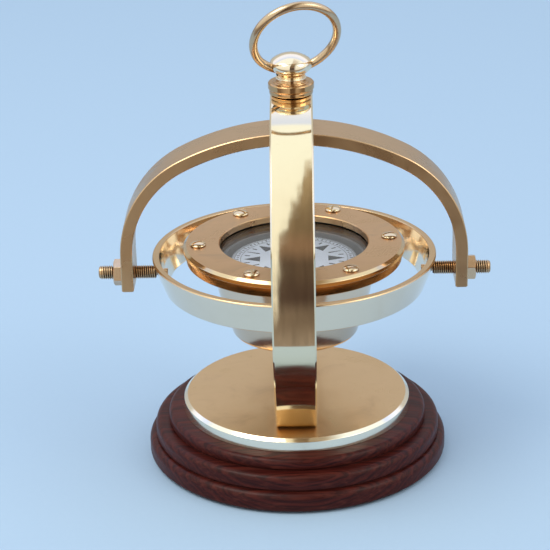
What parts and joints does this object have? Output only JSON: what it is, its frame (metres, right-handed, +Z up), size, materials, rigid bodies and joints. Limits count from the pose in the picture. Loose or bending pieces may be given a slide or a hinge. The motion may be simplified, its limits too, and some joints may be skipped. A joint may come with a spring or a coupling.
{
  "type": "binnacle compass",
  "caption": "Brass gimballed compass hung in a strap frame on a stepped round wooden base, with a pivoting card under glass and a carrying ring on the finial.",
  "frame": {"origin": "centre of the underside of the felt pad, which is the bottom centre of the whole object", "axes": "+Z up; X along the gimbal's outer pivots, through both arch legs; Y through the carrying loop's front and back legs, -Y is the front"},
  "size_m": [0.2298, 0.198, 0.2804],
  "materials": {
    "brass_satin": "satin polished brass",
    "brass_polished": "polished brass",
    "brass_card": "turned brass",
    "rosewood": "gloss lacquered",
    "felt": "felt",
    "glass": "clear polished",
    "rubber": "matt",
    "card": "printed card, matt",
    "liner": "matt grey paint",
    "bowl": "polished outside, dark inside rim",
    "steel": "bright steel",
    "magnet": "blackened steel"
  },
  "bodies": {
    "stand": {"wood_base": "rosewood", "felt_pad": "felt", "base_plate": "brass_satin", "frame_loop": "brass_polished", "base_bolt": "steel", "base_washer": "brass_satin", "base_nut": "brass_satin", "loop_screws": "brass_satin", "spacer_sleeve": "brass_satin", "suspension_arch": "brass_satin", "stem_bolt": "brass_satin", "stem_washer": "brass_satin", "stem_nut": "brass_satin", "finial_washer": "brass_satin", "finial_collar": "brass_polished", "finial_ball": "brass_polished", "left_pivot_stud": "brass_satin", "right_pivot_stud": "brass_satin", "pivot_nuts": "brass_polished"},
    "carry_ring": {"wire_ring": "brass_polished"},
    "gimbal": {"gimbal_ring": "brass_polished", "front_bowl_pivot": "brass_satin", "rear_bowl_pivot": "brass_satin"},
    "bowl": {"compass_bowl": "bowl", "bowl_flange": "bowl", "pivot_bosses": "bowl", "bowl_bottom_cap": "brass_satin", "ballast_weight": "brass_satin", "dial_liner": "liner", "lower_gasket": "rubber", "cover_glass": "glass", "upper_gasket": "rubber", "bezel_ring": "brass_satin", "bezel_screws": "brass_polished", "pivot_post": "brass_satin", "pivot_pin": "steel"},
    "card": {"compass_card": "card", "card_cap": "brass_card", "card_magnets": "magnet"}
  },
  "joints": [
    {"name": "gimbal_tilt", "type": "hinge", "parent": "stand", "child": "gimbal", "pos_m": [0, 0, 0.1142], "axis": [1, 0, 0], "range_deg": [-28, 28]},
    {"name": "bowl_tilt", "type": "hinge", "parent": "gimbal", "child": "bowl", "pos_m": [0, 0, 0.1142], "axis": [0, 1, 0], "continuous": true},
    {"name": "card_turn", "type": "hinge", "parent": "bowl", "child": "card", "pos_m": [0, 0, 0.1195], "axis": [0, 0, 1], "continuous": true},
    {"name": "ring_swing", "type": "hinge", "parent": "stand", "child": "carry_ring", "pos_m": [0, 0, 0.237], "axis": [0.9622, 0.2723, 0], "range_deg": [-138, 82]}
  ]
}
